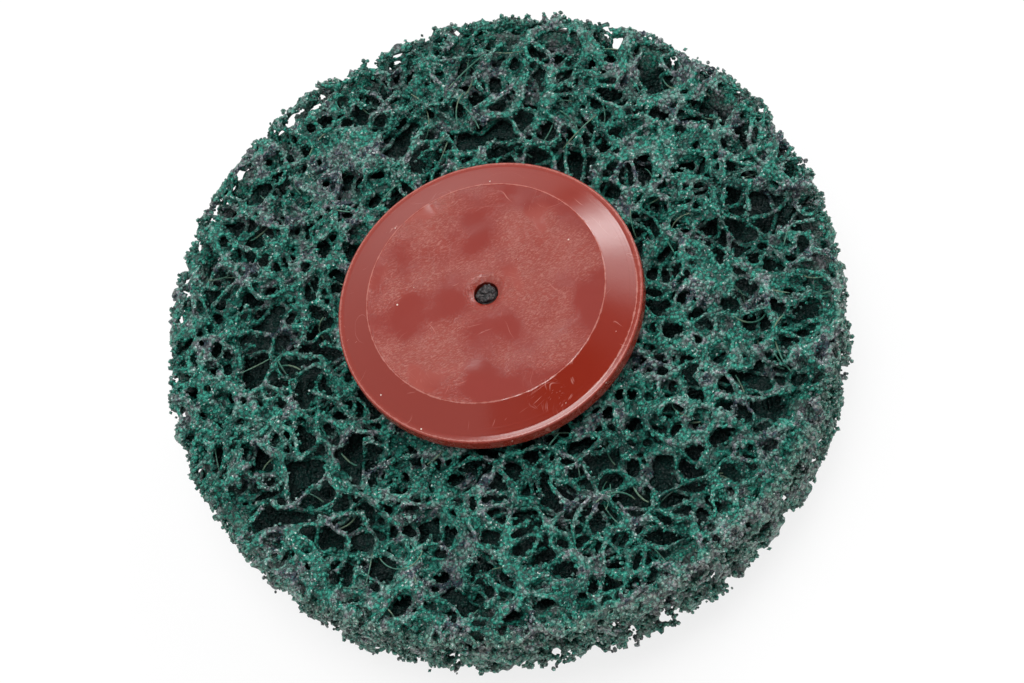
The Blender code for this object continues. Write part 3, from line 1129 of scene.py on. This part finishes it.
@dataclass(frozen=True)
class CapFinish:
    """Red-brown moulded plastic: glossy ring, face worn matt by fine scratches, with painted sheen
    and edge highlights laid into its colour.
    """

    face_radius: float
    lip_radius: float
    name: str = "cap_red_brown"
    body: Color = (0.226, 0.0195, 0.0092)
    pure: Color = (0.205, 0.0120, 0.0045)
    haze_and_sheen: Color = (0.335, 0.070, 0.050)
    scuff_and_highlight: Color = (0.560, 0.245, 0.200)
    dust: Color = (0.780, 0.700, 0.620)
    scrape_at: Pair = (1.2, -18.9)
    rub_at: Pair = (14.6, -14.6)

    def build(self, marks: Marks) -> Material:
        """Return the cap's material."""
        finish = Finish(self.name)
        nodes, place = finish.nodes, finish.place
        reach = nodes.reach(place)
        ragged = nodes.noise(place, 1.1, 3.0, 0.7)
        masks = CapMasks(nodes, marks, place, reach, ragged)
        face = nodes.span(reach, self.face_radius + 0.05, self.face_radius - 0.25)
        broad = nodes.noise(place, 0.10, 2.0, 0.5)
        rough_face = nodes.times(nodes.span(broad, 0.36, 0.58), face)
        grain = nodes.times(masks.leather(), rough_face)
        hatch = nodes.times(masks.strokes((1.05, 1.5, 0.20, 0.35, 0.9),
                                          (1.35, 1.1, 0.18, 0.30, 1.2),
                                          (0.55, 1.9, 0.22, 0.22, 0.8)), rough_face)
        hairs = masks.strokes((0.4, 7.0, 0.24, 0.030, 1.6), (2.1, 5.0, 0.22, 0.030, 2.0),
                              (1.2, 3.2, 0.26, 0.040, 2.6))
        scrape = nodes.times(masks.strokes((1.25, 2.2, 0.13, 0.55, 1.2),
                                           (1.85, 1.4, 0.13, 0.50, 2.2)),
                             masks.blot(self.scrape_at, 3.0))
        dots = nodes.group(marks.specks, place=place, spacing=1.5, share=0.22).outputs["Mask"]
        rub = nodes.times(masks.line(self.lip_radius - 0.55, 0.16), masks.blot(self.rub_at, 13.0))
        # The lines at the face's edge and at the lip are part scuff, part painted highlight.
        lines = nodes.total((masks.line(self.face_radius + 0.02, 0.13), 0.42),
                            (masks.line(self.lip_radius, 0.12), 0.40), (rub, 0.55))
        # The face's pale haze is part wear and part painted sheen, and the lip band gets some as
        # painted sheen too; elsewhere on the face the red turns purer.
        band = nodes.span(reach, self.lip_radius - 0.45, self.lip_radius - 0.15)
        worn = nodes.times(face, nodes.span(broad, 0.40, 0.62, 0.03, 0.40))
        haze_and_sheen_share = nodes.total((worn, 1.0), (band, 0.22))
        deep = nodes.times(nodes.span(broad, 0.56, 0.40), face)
        color = nodes.mix(haze_and_sheen_share, nodes.mix(deep, self.body, self.pure), self.haze_and_sheen)
        # The leather streaks turn paler, part scuff and part painted highlight.
        color = nodes.tinted(color, (grain, 0.0, 0.9, 0.40, self.scuff_and_highlight))
        marks_and_edge_highlights = nodes.total((hatch, 0.25), (hairs, 0.50), (scrape, 0.60), (lines, 1.0))
        color = nodes.mix(nodes.math("MINIMUM", marks_and_edge_highlights, 0.8), color, self.scuff_and_highlight)
        finish.set("Base Color", nodes.mix(nodes.times(dots, 0.8), color, self.dust))
        dish = nodes.span(reach, 3.1, 2.7)
        finish.set("Roughness", nodes.total(
            (nodes.span(face, 0.0, 1.0, 0.15, 0.29), 1.0), (marks_and_edge_highlights, 0.06), (dish, -0.15),
            (band, 0.12), (nodes.span(ragged, 0.5, 0.7), 0.04)))
        swell = nodes.math("SUBTRACT", nodes.noise(place, 0.13, 1.0, 0.4), 0.5)
        wave = nodes.times(swell, nodes.span(reach, 17.0, 12.0))
        relief = nodes.total((wave, 1.25), (nodes.noise(place, 0.35, 2.0), 0.02),
                             (nodes.noise(place, 2.4, 2.0, 0.6), 0.012), (grain, 0.060),
                             (nodes.times(marks_and_edge_highlights, face), -0.03), (dots, 0.06))
        finish.bump(relief, 1.0)
        return finish.material


@dataclass
class FrontCap:
    """The moulded front cap, with the rough end of the post in its middle."""

    face_radius: float = 17.1
    lip_width: float = 0.9
    side_height: float = 2.4
    ring_rise: float = 2.35
    edge_round: float = 0.28
    boss_radius: float = 15.0
    boss_height: float = 1.2
    hub_radius: float = 6.0
    bore_radius: float = 3.8
    hole_radius: float = 1.75
    dimple_radius: float = 2.9
    dimple_depth: float = 0.60
    roof: float = 3.0
    sag: float = 0.03
    sag_radii: Pair = (8.0, 13.0)
    burr: float = 0.07
    burr_size: float = 0.9
    burr_most: float = 1.4
    step_radii: Pair = (20.2, 20.75)
    step_height: float = 0.022
    segments: int = 240

    def profile(self, radius: float, low: float, high: float) -> Profile:
        """Return the cap's closed section."""
        lip = high - self.ring_rise
        rear = lip - self.side_height
        edge = self.edge_round
        dish = self.dimple_radius - self.hole_radius
        points = [(self.hole_radius, high - self.dimple_depth)]
        points += [(self.hole_radius + dish * share,
                    high - self.dimple_depth * (1.0 - share) ** 1.6)
                   for share in (0.2, 0.4, 0.6, 0.8)]
        points.append((self.dimple_radius + 0.2, high))
        points += [(around, high - self.sag) for around in self.sag_radii]
        points += [(self.face_radius - 0.30, high), (self.face_radius - 0.16, high + self.burr),
                   (self.face_radius, high + self.burr), (self.face_radius + 0.12, high - 0.02)]
        start = Vector((self.face_radius + 0.12, high - 0.02))
        end = Vector((radius - self.lip_width, lip))
        slope = (end.y - start.y) / (end.x - start.x)
        points += [(start.x + away, start.y + away * slope) for away in (0.10, 0.30, 1.60)]
        sunk = 0.0
        for step in self.step_radii:
            level = start.y + slope * (step - start.x) - sunk
            points += [(step - 0.08, level - 0.08 * slope), (step, level),
                       (step + 0.05, level - self.step_height),
                       (step + 0.13, level - self.step_height + 0.08 * slope)]
            sunk += self.step_height + 0.05 * slope
        points += [(end.x - 0.06, end.y - sunk - 0.06 * slope), (end.x, end.y - sunk),
                   (end.x + 0.06, end.y - sunk - 0.02)]
        lip -= sunk + 0.14
        points += arc((radius - edge, lip - edge), edge, 78, 0)
        points += arc((radius - edge, rear + edge), edge, 0, -90)
        points += [(self.boss_radius + 0.3, rear), (self.boss_radius, rear - 0.3),
                   (self.boss_radius, rear - self.boss_height),
                   (self.hub_radius, rear - self.boss_height), (self.hub_radius, low),
                   (self.bore_radius, low), (self.bore_radius, high - self.roof),
                   (self.hole_radius, high - self.roof)]
        return points

    def build(self, marks: Marks) -> None:
        """Build the cap."""
        radius, low, high = node_span("front_cap")
        shape = turned(self.profile(radius, low, high), self.segments)
        for corner in shape.verts:
            reach = math.hypot(corner.co.x, corner.co.y) / MM
            if -0.2 < reach - self.face_radius < 0.05 and corner.co.z / MM > high - 0.1:
                rag = 0.5 + noise.noise(corner.co / MM / self.burr_size)
                corner.co.z -= self.burr * MM * max(0.0, min(self.burr_most, rag))
        piece = placed("cap_moulding", shape, 24.0)
        finish = CapFinish(self.face_radius, radius - self.edge_round)
        finish_piece(piece, finish.build(marks), Slot.CAP, "front_cap")


@dataclass(frozen=True)
class ButtonFinish:
    """Dark moulded plastic with a fine grain."""

    name: str = "button_black"
    body: Color = (0.018, 0.018, 0.020)
    worn: Color = (0.060, 0.060, 0.062)
    scratch: Color = (0.12, 0.12, 0.12)
    dust: Color = (0.30, 0.33, 0.31)

    def build(self, marks: Marks) -> Material:
        """Return the button's material."""
        finish = Finish(self.name)
        nodes = finish.nodes
        clouds = nodes.noise(finish.place, 0.5, 4.0, 0.6)
        strokes = nodes.group(marks.strokes, place=finish.place, angle=0.7, length=4.0, width=0.22,
                              share=0.08, waver=3.0).outputs["Mask"]
        dots = nodes.group(marks.specks, place=finish.place, spacing=1.2,
                           share=0.10).outputs["Mask"]
        color = nodes.tinted(self.body, (clouds, 0.35, 0.7, 1.0, self.worn))
        color = nodes.mix(nodes.times(strokes, 0.5), color, self.scratch)
        color = nodes.mix(nodes.times(dots, 0.6), color, self.dust)
        finish.set("Base Color", color)
        finish.set("Roughness", nodes.span(clouds, 0.3, 0.7, 0.34, 0.55))
        grain = nodes.noise(finish.place, 9.0, 2.0, 0.5)
        finish.bump(nodes.math("SUBTRACT", grain, nodes.times(strokes, 0.5)), 0.04, 0.6)
        return finish.material


@dataclass(frozen=True)
class CharFinish:
    """Glossy black crumbs at the melted end of the post."""

    name: str = "post_end_black"
    char: Color = (0.010, 0.009, 0.010)
    ash: Color = (0.060, 0.045, 0.046)

    def build(self) -> Material:
        """Return the material of the post's end."""
        finish = Finish(self.name)
        nodes = finish.nodes
        cells = nodes.cells(finish.place, 3.2)
        pick = nodes.channels(cells.outputs["Color"])
        finish.set("Base Color", nodes.tinted(self.char, (pick[0], 0.55, 0.95, 1.0, self.ash)))
        finish.set("Roughness", nodes.span(pick[1], 0.0, 1.0, 0.12, 0.45))
        finish.bump(nodes.noise(finish.place, 2.6, 3.0, 0.6), 0.3, 0.8)
        return finish.material


@dataclass
class DriveButton:
    """The moulded button behind the web: post, flange and threaded stud."""

    flange_edge: float = 0.8
    flange_thickness: float = 2.5
    recess: Triple = (9.0, 16.0, 0.7)
    stud_length: float = 7.3
    stud_core: float = 3.9
    stud_root: float = 0.8
    stud_chamfer: float = 0.3
    post_radius: float = 3.5
    tip_radius: float = 1.45
    tip_start: float = 25.05
    thread_radius: float = 4.85
    thread_pitch: float = 3.2
    thread_turns: float = 1.5
    thread_root: float = 2.0
    thread_gap: float = 1.5
    thread_bite: float = 0.5
    thread_taper_deg: float = 40.0
    char_count: int = 44
    char_reach: float = 1.35
    char_size: Pair = (0.16, 0.36)
    char_voxel: float = 0.10
    segments: int = 160

    def profile(self, radius: float, high: float) -> Profile:
        """Return the button's section, from the post's tip to the stud's end."""
        front = self.stud_length + self.flange_thickness
        rear = self.stud_length
        edge, root, chamfer = self.flange_edge, self.stud_root, self.stud_chamfer
        inner, outer, deep = self.recess
        points = [(0.0, high), (self.tip_radius, high), (self.tip_radius, self.tip_start),
                  (self.post_radius, self.tip_start), (self.post_radius, front)]
        points += arc((radius - edge, front - edge), edge, 90, 0)
        points += arc((radius - edge, rear + edge), edge, 0, -90)
        points += arc((outer, rear + 0.2), 0.2, -90, -150, 2)
        points += [(outer - deep, rear + deep - 0.1), (outer - deep - 0.15, rear + deep),
                   (inner + deep + 0.15, rear + deep), (inner + deep, rear + deep - 0.1)]
        points += arc((inner, rear + 0.2), 0.2, -30, -90, 2)
        points += arc((self.stud_core + root, rear - root), root, 90, 180)
        points += [(self.stud_core, chamfer), (self.stud_core - 0.1, 0.1),
                   (self.stud_core - chamfer, 0.0), (1.6, 0.0), (1.3, 0.35), (0.0, 0.45)]
        return points

    def thread(self) -> Shape:
        """Return the stud's helical ridge, which runs out at both ends."""
        middle = self.thread_gap + self.thread_root / 2
        inner = self.stud_core - self.thread_bite
        tall = self.thread_radius - inner
        section = [(0.0, -1.0), (0.82, -0.52), (0.94, -0.44), (1.0, -0.30), (1.0, 0.30),
                   (0.94, 0.44), (0.82, 0.52), (0.0, 1.0)]
        shape = bmesh.new()
        ring = [shape.verts.new((inner + share * tall, 0.0, middle + side * self.thread_root / 2))
                for share, side in section]
        start = shape.faces.new(ring)
        steps = int(self.segments * self.thread_turns / 2)
        bmesh.ops.spin(shape, geom=[start, *start.edges, *start.verts], cent=(0.0, 0.0, 0.0),
                       axis=(0.0, 0.0, 1.0), angle=math.tau * self.thread_turns, steps=steps,
                       dvec=(0.0, 0.0, self.thread_pitch * self.thread_turns / steps),
                       use_duplicate=False)
        bmesh.ops.remove_doubles(shape, verts=shape.verts, dist=1e-4)
        total = math.tau * self.thread_turns
        for corner in shape.verts:
            turn = math.atan2(corner.co.y, corner.co.x) % math.tau
            rise = (corner.co.z - middle) / self.thread_pitch * math.tau
            travel = turn + math.tau * round((rise - turn) / math.tau)
            share = eased(min(travel, total - travel) / math.radians(self.thread_taper_deg))
            radius = math.hypot(corner.co.x, corner.co.y)
            if radius > self.stud_core:
                sunk = self.stud_core - 0.1 + (radius - self.stud_core + 0.1) * share
                corner.co.x *= sunk / radius
                corner.co.y *= sunk / radius
        bmesh.ops.recalc_face_normals(shape, faces=shape.faces)
        bmesh.ops.scale(shape, verts=shape.verts, vec=(MM, MM, MM))
        return shape

    def build(self, marks: Marks) -> None:
        """Build the button and the rough end of its post."""
        radius, _, high = node_span("drive_button")
        material = ButtonFinish().build(marks)
        shape = turned(self.profile(radius, high), self.segments, closed=False)
        body = placed("button_moulding", shape, 30.0)
        thread = placed("button_thread", self.thread(), 30.0)
        for piece in (body, thread):
            finish_piece(piece, material, Slot.BUTTON, "drive_button")
        finish_piece(self.post_end(high), CharFinish().build(), Slot.BUTTON)

    def post_end(self, level: float) -> Piece:
        """Return the heap of crumbs that fills the cap's centre hole."""
        chance = random.Random(5)
        shape = bmesh.new()
        bmesh.ops.create_cone(shape, cap_ends=True, segments=24, radius1=self.tip_radius,
                              radius2=self.char_reach, depth=0.5,
                              matrix=Matrix.Translation((0.0, 0.0, level)))
        for _ in range(self.char_count):
            reach = self.char_reach * math.sqrt(chance.random())
            turn = chance.uniform(0.0, math.tau)
            size = chance.uniform(*self.char_size)
            lift = level + 0.25 + chance.uniform(-0.12, 0.28) * (1.2 - 0.5 * reach)
            place = Matrix.Translation(polar(reach, turn, lift))
            stretch = Matrix.Diagonal((size, size * chance.uniform(0.6, 1.0),
                                       size * chance.uniform(0.6, 1.0), 1.0))
            spin = Matrix.Rotation(chance.uniform(0.0, math.tau), 4, "Z")
            bmesh.ops.create_icosphere(shape, subdivisions=1, radius=1.0,
                                       matrix=place @ spin @ stretch)
        piece = placed("post_end", shape, 180.0)
        fuse(piece, self.char_voxel)
        piece = baked(piece)
        to_metres(piece.data)
        return piece


@dataclass(frozen=True)
class SoftBox:
    """A round soft box on the tent's wall: direction and size in degrees, and brightness."""

    azimuth: float
    rise: float
    half_angle: float
    soft: float
    radiance: float


@dataclass
class Studio:
    """Floor, lights and camera."""

    pixel_of_cap: Pair = (488.8, 298.9)
    elevation: float = 61.4
    roll: float = 26.7
    distance: float = 400.0
    lens: float = 100.0
    sensor: float = 36.0
    cap_level: float = 26.0
    world: float = 0.36
    paper: float = 0.86
    white_share: float = 0.80
    boxes: tuple[SoftBox, ...] = (SoftBox(135.0, 20.0, 77.0, 1.5, 0.50),
                                  SoftBox(36.0, 22.0, 8.5, 10.0, 9.8),
                                  SoftBox(20.0, 32.0, 13.0, 13.0, 3.2),
                                  SoftBox(300.0, 86.0, 15.0, 4.0, 8.3),
                                  SoftBox(268.0, 6.0, 24.0, 12.0, 1.3),
                                  SoftBox(298.0, 46.0, 22.0, 9.0, -0.33))

    def camera(self) -> None:
        """Place the camera at the photograph's angle."""
        data = bpy.data.cameras.new("camera")
        data.lens = self.lens
        data.sensor_width = self.sensor
        data.clip_start = 0.01
        camera = linked("camera", data)
        rise = math.radians(self.elevation)
        back = Vector((0.0, -math.cos(rise), math.sin(rise)))
        level = back.to_track_quat("Z", "Y").to_matrix()
        turn = level @ Matrix.Rotation(math.radians(-self.roll), 3, "Z")
        right, upward = turn.col[0], turn.col[1]
        focal = self.lens / self.sensor * IMAGE_SIZE[0]
        scale = self.distance / focal
        aside = (IMAGE_SIZE[0] / 2 - self.pixel_of_cap[0]) * scale
        below = (self.pixel_of_cap[1] - IMAGE_SIZE[1] / 2) * scale
        target = Vector((0.0, 0.0, self.cap_level)) + right * aside + upward * below
        place = Matrix.Translation((target + back * self.distance) * MM)
        camera.matrix_world = place @ turn.to_4x4()
        bpy.context.scene.camera = camera

    def floor(self) -> None:
        """Lay a plain floor that stays white around the disc and keeps a soft shadow."""
        shape = bmesh.new()
        bmesh.ops.create_grid(shape, x_segments=1, y_segments=1, size=2.0)
        mesh = bpy.data.meshes.new("floor")
        shape.to_mesh(mesh)
        shape.free()
        floor = linked("floor", mesh)
        finish = Finish("floor_paper")
        nodes, paper = finish.nodes, finish.material
        finish.set("Base Color", (self.paper, self.paper, self.paper))
        finish.set("Roughness", 0.9)
        path = nodes.add("ShaderNodeLightPath").outputs
        mirrored = nodes.math("MAXIMUM", path["Is Glossy Ray"], path["Is Transmission Ray"])
        seen = nodes.math("MAXIMUM", path["Is Camera Ray"], mirrored)
        blend = nodes.add("ShaderNodeMixShader", {
            0: nodes.times(seen, self.white_share), 1: finish.shader.outputs[0],
            2: nodes.add("ShaderNodeEmission").outputs[0]})
        nodes.feed(paper.node_tree.nodes["Material Output"], 0, blend.outputs[0])
        mesh.materials.append(paper)

    def patch(self, nodes: Nodes, way: Socket, box: SoftBox) -> Socket:
        """Return the brightness that one soft box adds, seen along a direction."""
        turn, lift = math.radians(box.azimuth), math.radians(box.rise)
        centre = (math.cos(turn) * math.cos(lift), math.sin(turn) * math.cos(lift),
                  math.sin(lift))
        along = nodes.add("ShaderNodeVectorMath", {0: way, 1: centre}, operation="DOT_PRODUCT")
        away = nodes.math("ARCCOSINE", along.outputs["Value"])
        outer = math.radians(box.half_angle + box.soft)
        inner = math.radians(box.half_angle - box.soft)
        return nodes.span(away, outer, inner, 0.0, box.radiance)

    def light(self) -> None:
        """Light the disc with a pale tent that has soft boxes on its wall."""
        world = bpy.data.worlds.new("studio")
        world.use_nodes = True
        nodes = Nodes(world.node_tree)
        background = world.node_tree.nodes["Background"]
        way = nodes.add("ShaderNodeTexCoord").outputs["Generated"]
        total: object = self.world
        for box in self.boxes:
            total = nodes.math("ADD", total, self.patch(nodes, way, box))
        path = nodes.add("ShaderNodeLightPath").outputs
        seen = nodes.math("MAXIMUM", path["Is Camera Ray"], path["Is Transmission Ray"])
        blend = nodes.add("ShaderNodeMix", {0: seen, 2: total, 3: 1.0}, data_type="FLOAT")
        nodes.feed(background, "Strength", blend.outputs[0])
        nodes.feed(background, "Color", (1.0, 1.0, 1.0))
        bpy.context.scene.world = world

    def build(self) -> None:
        """Set the whole stage."""
        self.camera()
        self.floor()
        self.light()
        bpy.context.scene.view_settings.view_transform = "Standard"


def main() -> None:
    """Build the disc, piece by piece, and its stage."""
    logging.basicConfig(level=logging.INFO, format="%(name)s: %(message)s")
    Studio().build()
    marks = Marks()
    FrontCap().build(marks)
    DriveButton().build(marks)
    FilamentWeb().build()


if __name__ == "__main__":
    main()
